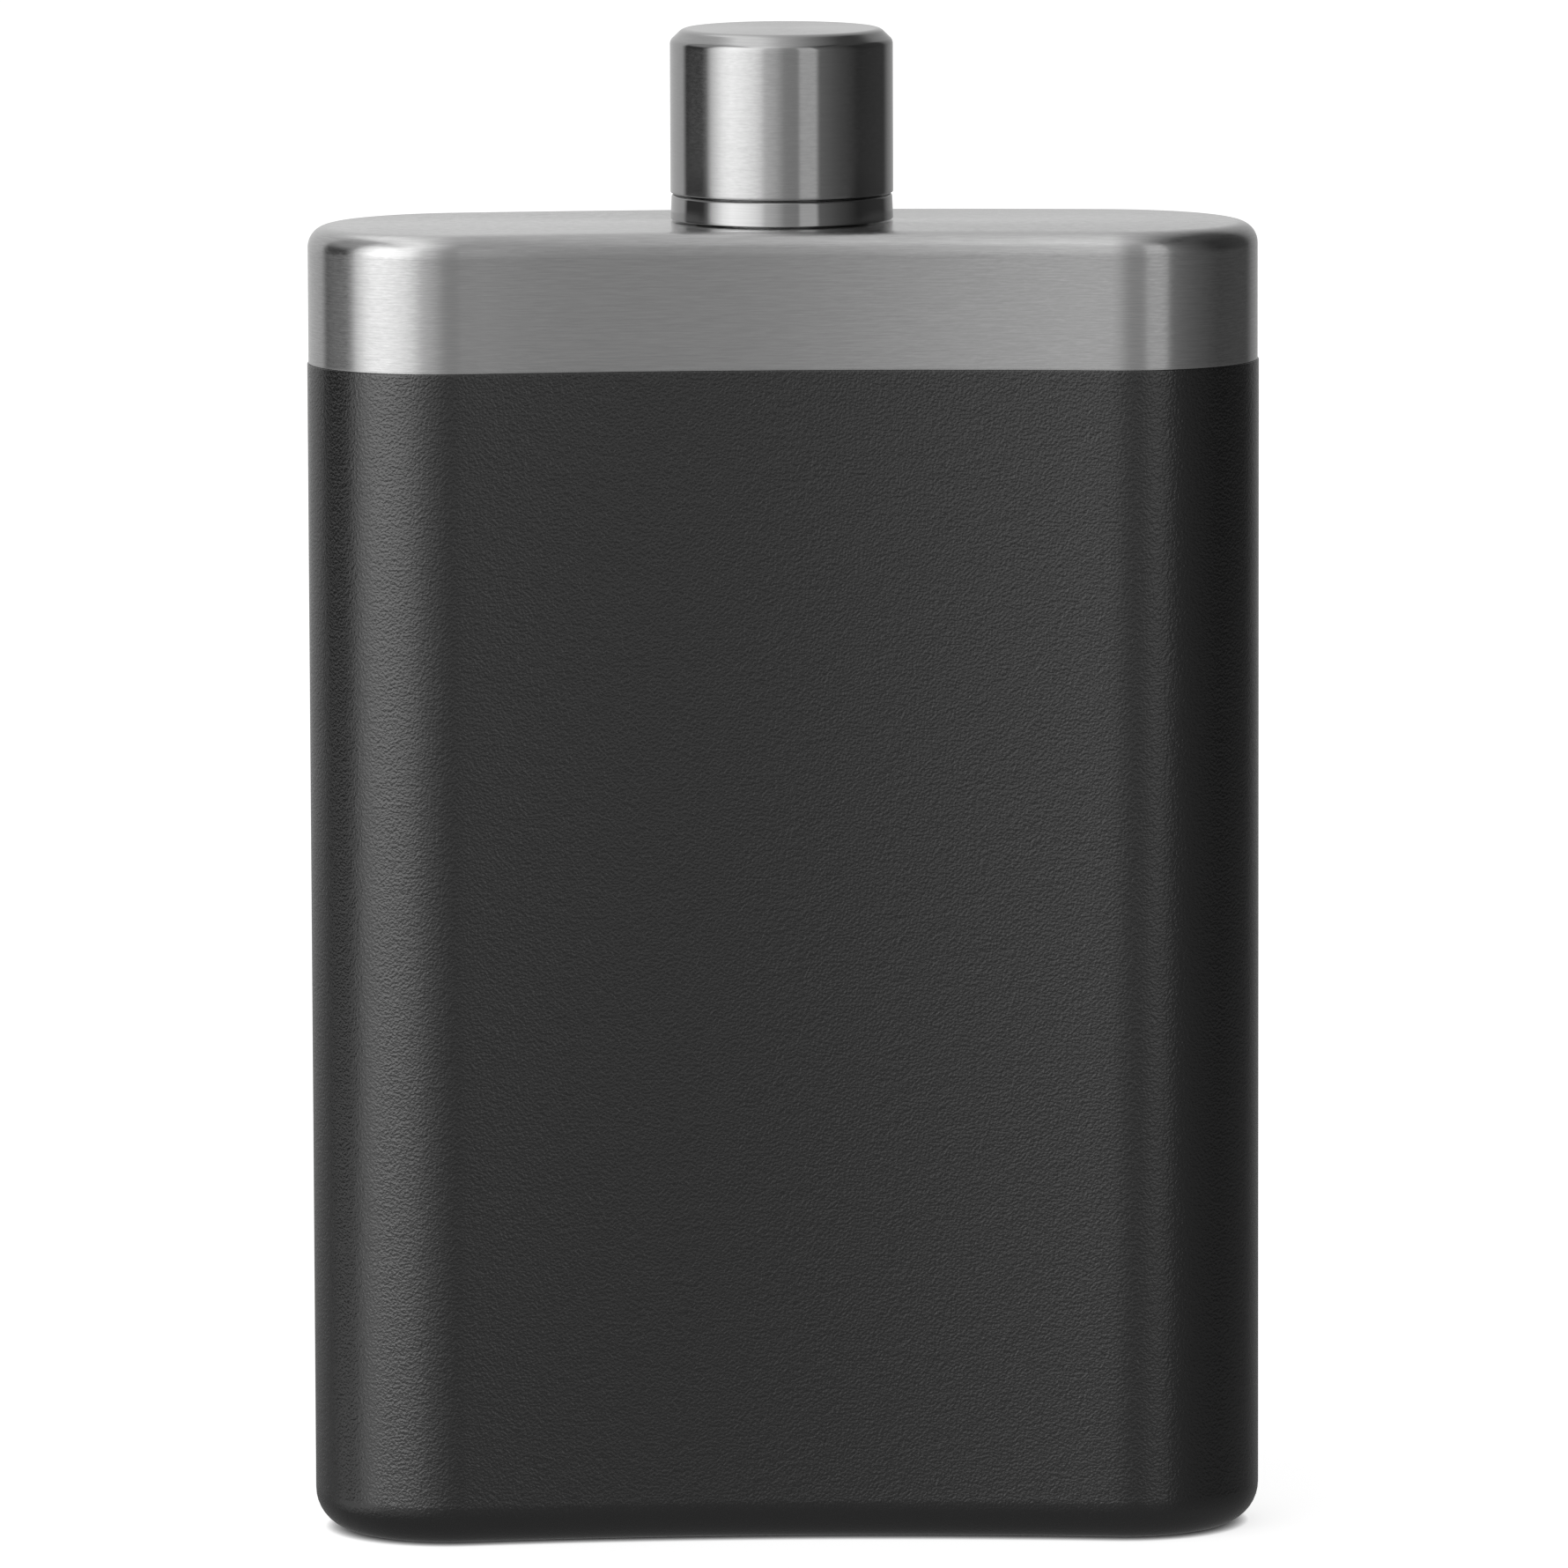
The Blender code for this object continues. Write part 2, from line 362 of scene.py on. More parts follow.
def pick(piece, test):
    """Selects the points whose place passes the test, and nothing else."""
    bpy.ops.mesh.select_all(action="DESELECT")
    mesh = bmesh.from_edit_mesh(piece.data)
    for point in mesh.verts:
        point.select = test(point.co)
    mesh.select_flush(True)
    bmesh.update_edit_mesh(piece.data)


def draw_profile(name, corners, closed):
    """Draws a line through (place, radius) corners and rounds each corner that has a radius."""
    places = [corner for corner, _ in corners]
    route = []
    for number, (corner, radius) in enumerate(corners):
        before = places[number - 1]
        after = places[(number + 1) % len(places)]
        reach = radius + SUPPORT
        if radius and (before - corner).length > SUPPORT_ROOM * reach:
            route.append(corner + (before - corner).normalized() * reach)
        route.append(corner)
        if radius and (after - corner).length > SUPPORT_ROOM * reach:
            route.append(corner + (after - corner).normalized() * reach)
    if closed:
        route.append(route[0])
    piece = start_drawing(name, route[0])
    for last, place in zip(route, route[1:]):
        bpy.ops.mesh.extrude_region_move(TRANSFORM_OT_translate={"value": place - last})
    bpy.ops.mesh.select_all(action="SELECT")
    bpy.ops.mesh.remove_doubles(threshold=MERGE)
    for corner, radius in corners:
        if radius:
            pick(piece, lambda place: (place - corner).length < MERGE)
            bpy.ops.mesh.bevel(affect="VERTICES", offset=radius, segments=ROUND_STEPS)
    bpy.ops.mesh.select_all(action="SELECT")
    return piece


def spin(turn, steps, centre):
    """Sweeps what is selected round an upright axis, anticlockwise seen from above."""
    bpy.ops.mesh.spin(steps=steps, angle=-turn, center=(*centre, 0), axis=(0, 0, 1))


def tidy_surface():
    bpy.ops.mesh.select_all(action="SELECT")
    bpy.ops.mesh.remove_doubles(threshold=MERGE)
    bpy.ops.mesh.normals_make_consistent(inside=False)


def sweep_round_body():
    """Carries the drawn profile from the middle of the front face right round the body."""
    side = sizes().body_width / 2
    front = sizes().front_radius
    back = front + sizes().body_thickness
    front_corner = sizes().front_corner
    hub = Vector((0, NECK_Y - (front + back) / 2))
    front_sweep = math.asin((side - front_corner) / (front + front_corner))
    reach = (front + front_corner) * math.cos(front_sweep)
    back_corner = (back**2 - side**2 - reach**2) / (2 * (back - side))
    back_sweep = math.asin((side - back_corner) / (back - back_corner))
    front_place = Vector((side - front_corner, hub.y + reach))
    back_place = Vector((side - back_corner, hub.y + reach))
    mirror = Vector((-1, 1))
    quarter = math.pi / 2
    spin(-front_sweep, FACE_STEPS // 2, hub)
    spin(quarter + front_sweep, END_STEPS // 2, front_place)
    spin(quarter - back_sweep, END_STEPS // 2, back_place)
    spin(2 * back_sweep, FACE_STEPS, hub)
    spin(quarter - back_sweep, END_STEPS // 2, back_place * mirror)
    spin(quarter + front_sweep, END_STEPS // 2, front_place * mirror)
    spin(-front_sweep, FACE_STEPS // 2, hub)
    tidy_surface()


def turn_round_neck():
    spin(2 * math.pi, TURN_STEPS, (0, NECK_Y))
    tidy_surface()


def fill_level(piece, height):
    """Closes the open edge of a swept surface at a height."""
    bpy.ops.mesh.select_all(action="DESELECT")
    mesh = bmesh.from_edit_mesh(piece.data)
    for edge in mesh.edges:
        edge.select = edge.is_boundary and all(abs(end.co.z - height) < MERGE for end in edge.verts)
    bmesh.update_edit_mesh(piece.data)
    bpy.ops.mesh.edge_face_add()


def apply_boolean(piece, operation, other):
    """Cuts another mesh from a piece, or joins it to the piece, and removes it."""
    bpy.ops.object.select_all(action="DESELECT")
    bpy.context.view_layer.objects.active = piece
    piece.select_set(True)
    change = piece.modifiers.new("Change", "BOOLEAN")
    change.operation = operation
    change.object = other
    bpy.ops.object.modifier_apply(modifier=change.name)
    bpy.data.objects.remove(other, do_unlink=True)


def finish_piece(piece, material, body, slot, *nodes):
    bpy.ops.object.mode_set(mode="OBJECT")
    bpy.ops.object.shade_smooth_by_angle(angle=SMOOTH_ANGLE)
    piece.data.materials.clear()
    piece.data.materials.append(material)
    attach(piece, body)
    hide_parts(*nodes)


class Nodes:
    """A node tree, with short ways to add and join nodes."""

    def __init__(self, tree):
        self.tree = tree

    def add(self, kind, **settings):
        node = self.tree.nodes.new(kind)
        for name, value in settings.items():
            setattr(node, name, value)
        return node

    def join(self, value, socket):
        """Links an output to a socket, or sets the socket to a number or a grey."""
        if isinstance(value, bpy.types.NodeSocket):
            self.tree.links.new(value, socket)
        elif socket.type == "RGBA":
            socket.default_value = (value, value, value, 1)
        else:
            socket.default_value = value

    def math(self, operation, first, second):
        node = self.add("ShaderNodeMath", operation=operation)
        self.join(first, node.inputs[0])
        self.join(second, node.inputs[1])
        return node.outputs[0]

    def fade(self, value, start, end, low, high, way="SMOOTHSTEP"):
        """Runs from low to high while a value runs from start to end."""
        node = self.add("ShaderNodeMapRange", interpolation_type=way)
        limits = {"Value": value, "From Min": start, "From Max": end, "To Min": low, "To Max": high}
        for name, limit in limits.items():
            self.join(limit, node.inputs[name])
        return node.outputs["Result"]

    def ramp(self, value, stops):
        """Reads a grey for a value from (value, grey) stops."""
        node = self.add("ShaderNodeValToRGB")
        marks = node.color_ramp.elements
        while len(marks) < len(stops):
            marks.new(1.0)
        first = stops[0][0]
        last = stops[-1][0]
        for mark, (place, grey) in zip(marks, stops):
            mark.position = (place - first) / (last - first)
            mark.color = (grey, grey, grey, 1)
        self.join(self.fade(value, first, last, 0, 1, "LINEAR"), node.inputs["Fac"])
        return node.outputs["Color"]

    def mix(self, factor, first, second):
        node = self.add("ShaderNodeMix", data_type="RGBA")
        self.join(factor, node.inputs["Factor"])
        self.join(first, node.inputs["A"])
        self.join(second, node.inputs["B"])
        return node.outputs["Result"]

    def mix_shaders(self, factor, first, second):
        node = self.add("ShaderNodeMixShader")
        self.join(factor, node.inputs["Fac"])
        self.join(first, node.inputs[1])
        self.join(second, node.inputs[2])
        return node.outputs[0]


# Between these values lies most of a noise
NOISE_LOW = 0.3
NOISE_HIGH = 0.7


class Finish(Nodes):
    """A material of one shader, worked up with procedural textures."""

    def __init__(self, name, colour, roughness, metallic):
        self.material = bpy.data.materials.new(name)
        self.material.use_nodes = True
        super().__init__(self.material.node_tree)
        self.shader = self.tree.nodes["Principled BSDF"]
        self.shader.inputs["Base Color"].default_value = (*colour, 1)
        self.shader.inputs["Roughness"].default_value = roughness
        self.shader.inputs["Metallic"].default_value = metallic
        self.place = self.add("ShaderNodeTexCoord").outputs["Object"]

    def noise(self, grain, detail=2.0, stretch=(1, 1, 1)):
        """Noise whose grain is a length in metres, drawn out along the axes with a stretch over 1."""
        mapping = self.add("ShaderNodeMapping")
        mapping.inputs["Scale"].default_value = [1 / (grain * share) for share in stretch]
        noise = self.add("ShaderNodeTexNoise")
        noise.inputs["Scale"].default_value = 1.0
        noise.inputs["Detail"].default_value = detail
        self.join(self.place, mapping.inputs["Vector"])
        self.join(mapping.outputs["Vector"], noise.inputs["Vector"])
        return noise.outputs["Fac"]

    def roughen(self, value, start, end):
        """Lets the roughness run from start to end with a noise."""
        rough = self.fade(value, NOISE_LOW, NOISE_HIGH, start, end, "LINEAR")
        self.join(rough, self.shader.inputs["Roughness"])

    def shade(self, value, dark, light):
        """Colours the surface between two tones of its own colour."""
        ramp = self.add("ShaderNodeValToRGB")
        colour = self.shader.inputs["Base Color"].default_value[:3]
        stops = zip(ramp.color_ramp.elements, (NOISE_LOW, NOISE_HIGH), (dark, light))
        for stop, position, share in stops:
            stop.position = position
            stop.color = (*(part * share for part in colour), 1)
        self.join(value, ramp.inputs["Fac"])
        self.join(ramp.outputs["Color"], self.shader.inputs["Base Color"])

    def bump(self, height, depth, strength, under=None):
        node = self.add("ShaderNodeBump")
        node.inputs["Distance"].default_value = depth
        node.inputs["Strength"].default_value = strength
        self.join(height, node.inputs["Height"])
        if under:
            self.join(under, node.inputs["Normal"])
        return node.outputs["Normal"]

    def marks(self, grain, length):
        """Brush marks that run round the walls, and from side to side on level faces."""
        walls = self.noise(grain, stretch=(length, length, 1))
        tops = self.noise(grain, stretch=(length, 1, length))
        split = self.add("ShaderNodeSeparateXYZ")
        self.join(self.add("ShaderNodeNewGeometry").outputs["Normal"], split.inputs[0])
        level = self.fade(self.math("ABSOLUTE", split.outputs["Z"], 0), 0.7, 0.95, 0, 1)
        return self.mix(level, walls, tops)

    def brush(self, amount):
        """Draws highlights out across brush marks that run round the piece."""
        tangent = self.add("ShaderNodeTangent", direction_type="RADIAL", axis="Z")
        self.join(tangent.outputs["Tangent"], self.shader.inputs["Tangent"])
        self.shader.inputs["Anisotropic"].default_value = amount
        self.shader.inputs["Anisotropic Rotation"].default_value = 0.25


def powder_coat():
    """Black coating with a fine pebbled grain over a faint waviness."""
    finish = Finish("powder_coat", finishes().coat, roughness=0.2, metallic=0.0)
    finish.shader.inputs["Specular IOR Level"].default_value = 1.0
    finish.shader.inputs["IOR"].default_value = 1.64
    pebbles = finish.noise(grain=0.00025, detail=1.0)
    dust = finish.noise(grain=0.00012)
    swell = finish.noise(grain=0.0018, detail=1.0)
    finish.shade(pebbles, dark=0.8, light=1.25)
    finish.roughen(dust, start=0.30, end=0.08)
    relief = finish.bump(swell, depth=0.00005, strength=0.25)
    relief = finish.bump(pebbles, depth=0.000036, strength=1.0, under=relief)
    finish.join(relief, finish.shader.inputs["Normal"])
    return finish.material


def brushed_steel(name, colour, roughness, amount, contrast, depth, speckle_depth):
    """Steel with short brush marks along the girth and a fine speckle."""
    finish = Finish(name, colour, roughness, metallic=1.0)
    marks = finish.marks(grain=0.00011, length=22)
    speckle = finish.noise(grain=0.0002, stretch=(3, 3, 1))
    finish.shade(marks, 1 - contrast, 1 + contrast)
    finish.roughen(speckle, start=roughness * 0.8, end=roughness * 1.2)
    relief = finish.bump(marks, depth, strength=0.5)
    relief = finish.bump(speckle, speckle_depth, strength=0.5, under=relief)
    finish.join(relief, finish.shader.inputs["Normal"])
    finish.brush(amount)
    return finish.material


def bright_steel(name, roughness):
    """Turned steel, polished but for faint tool marks."""
    finish = Finish(name, finishes().bright, roughness, metallic=1.0)
    marks = finish.marks(grain=0.00009, length=40)
    finish.shade(marks, dark=0.96, light=1.03)
    finish.roughen(marks, start=roughness * 0.8, end=roughness * 1.3)
    relief = finish.bump(marks, depth=0.000002, strength=0.4)
    finish.join(relief, finish.shader.inputs["Normal"])
    finish.brush(amount=0.3)
    return finish.material


def moulded(name, colour, roughness, grain):
    """Plastic or silicone with a faint moulded grain."""
    finish = Finish(name, colour, roughness, metallic=0.0)
    skin = finish.noise(grain, detail=3.0)
    finish.shade(skin, dark=0.9, light=1.08)
    finish.roughen(skin, start=roughness * 0.85, end=roughness * 1.15)
    relief = finish.bump(skin, depth=grain * 0.05, strength=0.4)
    finish.join(relief, finish.shader.inputs["Normal"])
    return finish.material


class FLASK_OT_body_sleeve(Operator):
    """Models the coated wall with its rounded foot and standing rim"""

    bl_idname = "flask.body_sleeve"
    bl_label = "Body Sleeve"

    def execute(self, context):
        size = sizes()
        wall = size.sheet + size.coating
        rim = size.base_edge + size.rim_width
        corners = [
            (on_front(wall, SLEEVE_TOP), 0),
            (on_front(0, SLEEVE_TOP), size.coating * 0.7),
            (on_front(0, 0), size.base_edge),
            (on_front(rim, 0), size.coating),
            (on_front(rim, wall), 0),
            (on_front(wall, wall), size.base_edge - wall),
        ]
        piece = draw_profile("sleeve_coated", corners, closed=True)
        sweep_round_body()
        finish_piece(piece, powder_coat(), "flask", "body_coat", "body_sleeve")
        return {"FINISHED"}


class FLASK_OT_base_plate(Operator):
    """Models the pressed plate that closes the foot"""

    bl_idname = "flask.base_plate"
    bl_label = "Base Plate"

    def execute(self, context):
        size = sizes()
        edge = size.body_width / 2 - PLATE_HIGH.x
        margin = edge + PLATE_MARGIN
        panel = margin + PLATE_STEP
        rise = PLATE_HIGH.z - PLATE_LOW.z - size.sheet
        low = PLATE_LOW.z
        top = low + size.sheet
        corners = [
            (on_front(panel, low + rise), 0),
            (on_front(margin, low), PLATE_BEND),
            (on_front(edge, low), 0),
            (on_front(edge, top), 0),
            (on_front(margin, top), PLATE_BEND),
            (on_front(panel, top + rise), 0),
        ]
        piece = draw_profile("base_plate_pressed", corners, closed=False)
        sweep_round_body()
        fill_level(piece, low + rise)
        fill_level(piece, top + rise)
        tidy_surface()
        steel = brushed_steel(
            "base_steel",
            finishes().brushed,
            roughness=0.30,
            amount=0.0,
            contrast=0.05,
            depth=0.000004,
            speckle_depth=0.00001,
        )
        finish_piece(piece, steel, "flask", "brushed_steel", "base_plate")
        return {"FINISHED"}


class FLASK_OT_shoulder(Operator):
    """Models the bare steel top with its rounded edge, spigot and neck hole"""

    bl_idname = "flask.shoulder"
    bl_label = "Shoulder"

    def execute(self, context):
        size = sizes()
        top = SHOULDER_HIGH.z
        seam = SLEEVE_TOP + SEAM_SLIT
        flat = size.coating + size.top_edge + FLAT_MARGIN
        spigot = size.coating + size.sheet + size.fit_gap
        inner = size.coating + size.sheet
        corners = [
            (on_front(flat, top), 0),
            (on_front(size.coating, top), size.top_edge),
            (on_front(size.coating, seam), SEAM_EDGE),
            (on_front(spigot, seam), 0),
            (on_front(spigot, SHOULDER_LOW.z), 0),
            (on_front(spigot + size.sheet, SHOULDER_LOW.z), 0),
            (on_front(spigot + size.sheet, seam + size.sheet), 0),
            (on_front(inner, seam + size.sheet), 0),
            (on_front(inner, top - size.sheet), size.top_edge - size.sheet),
            (on_front(flat, top - size.sheet), 0),
        ]
        piece = draw_profile("shoulder_brushed", corners, closed=False)
        sweep_round_body()
        fill_level(piece, top)
        fill_level(piece, top - size.sheet)
        tidy_surface()
        bpy.ops.object.mode_set(mode="OBJECT")
        bpy.ops.object.select_all(action="DESELECT")
        bpy.ops.mesh.primitive_cylinder_add(
            vertices=TURN_STEPS,
            radius=neck_radius() + size.fit_gap,
            depth=10 * size.sheet,
            location=(0, NECK_Y, top),
        )
        apply_boolean(piece, "DIFFERENCE", context.object)
        steel = brushed_steel(
            "shoulder_steel",
            finishes().brushed,
            roughness=0.22,
            amount=0.6,
            contrast=0.06,
            depth=0.000004,
            speckle_depth=0.000006,
        )
        finish_piece(piece, steel, "flask", "brushed_steel", "shoulder")
        return {"FINISHED"}


class FLASK_OT_neck(Operator):
    """Models the threaded spout under the cap"""

    bl_idname = "flask.neck"
    bl_label = "Neck"

    def execute(self, context):
        size = sizes()
        flange = NECK_HIGH.x
        flange_top = NECK_LOW.z + size.sheet
        corners = [
            (on_axis(neck_radius(), NECK_HIGH.z), LIP_EDGE),
            (on_axis(neck_radius(), flange_top), BROKEN_EDGE),
            (on_axis(flange, flange_top), BROKEN_EDGE),
            (on_axis(flange, NECK_LOW.z), BROKEN_EDGE),
            (on_axis(size.neck_bore, NECK_LOW.z), ROUND_EDGE),
            (on_axis(size.neck_bore, NECK_HIGH.z), LIP_EDGE),
        ]
        steel = bright_steel("neck_steel", roughness=0.2)
        piece = draw_profile("neck_threaded", corners, closed=True)
        turn_round_neck()
        bpy.ops.object.mode_set(mode="OBJECT")
        start = COLLAR_TOP + THREAD_START
        thread = make_thread("neck_thread", neck_radius(), 1, start, NECK_TURNS)
        apply_boolean(piece, "UNION", thread)
        finish_piece(piece, steel, "flask", "bright_steel", "neck")
        return {"FINISHED"}


class FLASK_OT_neck_collar(Operator):
    """Models the polished ring round the neck's foot"""

    bl_idname = "flask.neck_collar"
    bl_label = "Neck Collar"

    def execute(self, context):
        size = sizes()
        foot = CAP_HIGH.x
        head = foot - size.collar_draft
        bore = neck_radius() + size.fit_gap
        low = SHOULDER_HIGH.z + FOOT_SLIT
        high = CAP_LOW.z - CAP_SLIT
        corners = [
            (on_axis(bore, high), BROKEN_EDGE),
            (on_axis(head - size.collar_chamfer, high), COLLAR_EDGE),
            (on_axis(head, high - size.collar_chamfer), COLLAR_EDGE),
            (on_axis(foot, low), KEEN_EDGE),
            (on_axis(bore, low), KEEN_EDGE),
        ]
        piece = draw_profile("collar_polished", corners, closed=True)
        turn_round_neck()
        steel = bright_steel("collar_steel", roughness=0.07)
        finish_piece(piece, steel, "flask", "bright_steel", "neck_collar")
        return {"FINISHED"}


class FLASK_OT_cap_shell(Operator):
    """Models the drawn steel cup of the cap"""

    bl_idname = "flask.cap_shell"
    bl_label = "Cap Shell"

    def execute(self, context):
        size = sizes()
        wall = size.cap_wall
        outer = CAP_HIGH.x
        bore = outer - wall
        top = CAP_HIGH.z
        crease = top - size.cap_bevel
        slope = math.tan(size.cap_lean)
        head = outer - size.cap_bevel * slope
        inner_head = outer - wall / math.cos(size.cap_lean) - (size.cap_bevel - wall) * slope
        inner_crease = crease - wall * math.tan(size.cap_lean / 2)
        reach = math.tan((math.pi / 2 - size.cap_lean) / 2)
        corners = [
            (on_axis(0, top), 0),
            (on_axis(head, top), size.cap_edge * reach),
            (on_axis(outer, crease), CREASE_EDGE),
            (on_axis(outer, CAP_LOW.z), size.cap_lip),
            (on_axis(bore, CAP_LOW.z), KEEN_EDGE),
            (on_axis(bore, inner_crease), KEEN_EDGE),
            (on_axis(inner_head, top - wall), (size.cap_edge - wall) * reach),
            (on_axis(0, top - wall), 0),
        ]
        piece = draw_profile("cap_shell_brushed", corners, closed=False)
        turn_round_neck()
        steel = brushed_steel(
            "cap_steel",
            finishes().cap,
            roughness=0.13,
            amount=0.6,
            contrast=0.03,
            depth=0.000001,
            speckle_depth=0.000003,
        )
        finish_piece(piece, steel, "cap", "brushed_steel", "cap_shell")
        return {"FINISHED"}


class FLASK_OT_cap_liner(Operator):
    """Models the moulded liner with its inner thread"""

    bl_idname = "flask.cap_liner"
    bl_label = "Cap Liner"

    def execute(self, context):
        size = sizes()
        outer = LINER_HIGH.x
        bore = neck_radius() + size.thread_height + size.fit_gap
        roof = SEAL_HIGH.z + size.fit_gap
        corners = [
            (on_axis(0, LINER_HIGH.z), 0),
            (on_axis(outer, LINER_HIGH.z), size.liner_edge),
            (on_axis(outer, LINER_LOW.z), BROKEN_EDGE),
            (on_axis(bore, LINER_LOW.z), BROKEN_EDGE),
            (on_axis(bore, roof), ROUND_EDGE),
            (on_axis(0, roof), 0),
        ]
        plastic = moulded("liner_plastic", finishes().liner, roughness=0.42, grain=0.0006)
        piece = draw_profile("cap_liner_threaded", corners, closed=False)
        turn_round_neck()
        bpy.ops.object.mode_set(mode="OBJECT")
        start = COLLAR_TOP + THREAD_START + size.thread_lead / 2
        thread = make_thread("liner_thread", bore, -1, start, LINER_TURNS)
        apply_boolean(piece, "UNION", thread)
        finish_piece(piece, plastic, "cap", "liner_plastic", "cap_liner")
        return {"FINISHED"}


class FLASK_OT_cap_seal(Operator):
    """Models the silicone ring that closes on the neck's lip"""

    bl_idname = "flask.cap_seal"
    bl_label = "Cap Seal"

    def execute(self, context):
        outer = SEAL_HIGH.x
        bore = sizes().neck_bore
        corners = [
            (on_axis(outer, SEAL_HIGH.z), ROUND_EDGE),
            (on_axis(outer, SEAL_LOW.z), ROUND_EDGE),
            (on_axis(bore, SEAL_LOW.z), ROUND_EDGE),
            (on_axis(bore, SEAL_HIGH.z), ROUND_EDGE),
        ]
        piece = draw_profile("cap_seal_ring", corners, closed=True)
        turn_round_neck()
        silicone = moulded("seal_silicone", finishes().seal, roughness=0.5, grain=0.0004)
        finish_piece(piece, silicone, "seal", "seal_silicone", "cap_seal")
        return {"FINISHED"}


def make_thread(name, wall, side, start, turns):
    """A right-hand ridge outside (1) or inside (-1) a wall, with ends that run out into it."""
    size = sizes()
    root = wall - side * THREAD_SINK
    crest = wall + side * size.thread_height
    corners = [
        (Vector((root, 0, start + size.thread_foot / 2)), 0),
        (Vector((crest, 0, start + size.thread_crest / 2)), 0),
        (Vector((crest, 0, start - size.thread_crest / 2)), 0),
        (Vector((root, 0, start - size.thread_foot / 2)), 0),
    ]
    thread = draw_profile(name, corners, closed=True)
    bpy.ops.object.mode_set(mode="OBJECT")
    screw = thread.modifiers.new("Thread", "SCREW")
    screw.axis = "Z"
    screw.angle = 2 * math.pi * turns
    screw.screw_offset = size.thread_lead * turns
    screw.steps = round(TURN_STEPS / 2 * turns)
    screw.render_steps = screw.steps
    bpy.ops.object.modifier_apply(modifier=screw.name)
    bpy.ops.object.mode_set(mode="EDIT")
    mesh = bmesh.from_edit_mesh(thread.data)
    for point in mesh.verts:
        bearing = math.atan2(point.co.y, point.co.x) / (2 * math.pi)
        turn = bearing + round((point.co.z - start) / size.thread_lead - bearing)
        share = min(1.0, THREAD_STUB + min(turn, turns - turn) / THREAD_RUN_OUT)
        radius = math.hypot(point.co.x, point.co.y)
        factor = (root + (radius - root) * share) / radius
        point.co.x *= factor
        point.co.y *= factor
    bmesh.update_edit_mesh(thread.data)
    bpy.ops.mesh.select_all(action="DESELECT")
    bpy.ops.mesh.select_non_manifold()
    bpy.ops.mesh.fill_holes(sides=4)
    tidy_surface()
    bpy.ops.transform.translate(value=(0, NECK_Y, 0))
    bpy.ops.object.mode_set(mode="OBJECT")
    return thread


# Brightness of the studio by bearing, in degrees to the left of straight ahead of the front face
STUDIO = (
    (-180, 0.66),
    (-165, 0.40),
    (-142, 0.22),
    (-130, 0.05),
    (-85, 0.03),
    (-60, 0.09),
    (-38, 0.17),
    (-34, 0.55),
    (-18.5, 0.56),
    (-15, 0.29),
    (-2, 0.32),
    (8, 0.56),
    (18, 0.69),
    (23, 1.00),
    (30, 1.24),
    (42, 1.46),
    (55, 1.60),
    (65, 1.40),
    (72, 1.06),
    (79, 0.74),
    (86, 0.16),
    (92, 0.045),
    (118, 0.045),
    (126, 0.45),
    (160, 0.56),
    (180, 0.66),
)

# Brightness of the ceiling, from its left edge (-1) to its right edge (1)
CEILING = (
    (-1.0, 0.35),
    (-0.6, 0.40),
    (-0.5, 0.55),
    (-0.4, 1.00),
    (-0.2, 0.95),
    (0.0, 0.55),
    (0.3, 0.25),
    (0.5, 0.06),
    (1.0, 0.12),
)

# Brightness low in front, low on the left and under the flask, and the least there is high on the left
LOW_FRONT = 0.14
LOW_LEFT = 0.55
UNDER = 0.16
HIGH_LEFT = 0.3

# Elevations in degrees between which these and the ceiling take over from the ring of lights
LOW_BAND = (-4.5, -10.5)
UNDER_BAND = (-18, -40)
HIGH_BAND = (8, 28)
CEILING_BAND = (32, 58)

# Share of the low light, and the limits of the left, as the sideways part of a direction
LOW_SHARE = 0.85
LEFT_BAND = (-0.3, -0.8)
FAR_LEFT_BAND = (-0.8, -0.95)

# Floor: grey of the paper, and glow that makes it white to the camera, dimmed near the flask into a painted
# contact shadow
PAPER_GREY = 0.6
PAPER_GLOW = 0.81

# Camera: width of the sensor in millimetres, and how far it sees in metres
SENSOR_WIDTH = 36
SIGHT = 50


def heights(band):
    """Upward parts of directions at two elevations."""
    return [math.sin(math.radians(degrees)) for degrees in band]


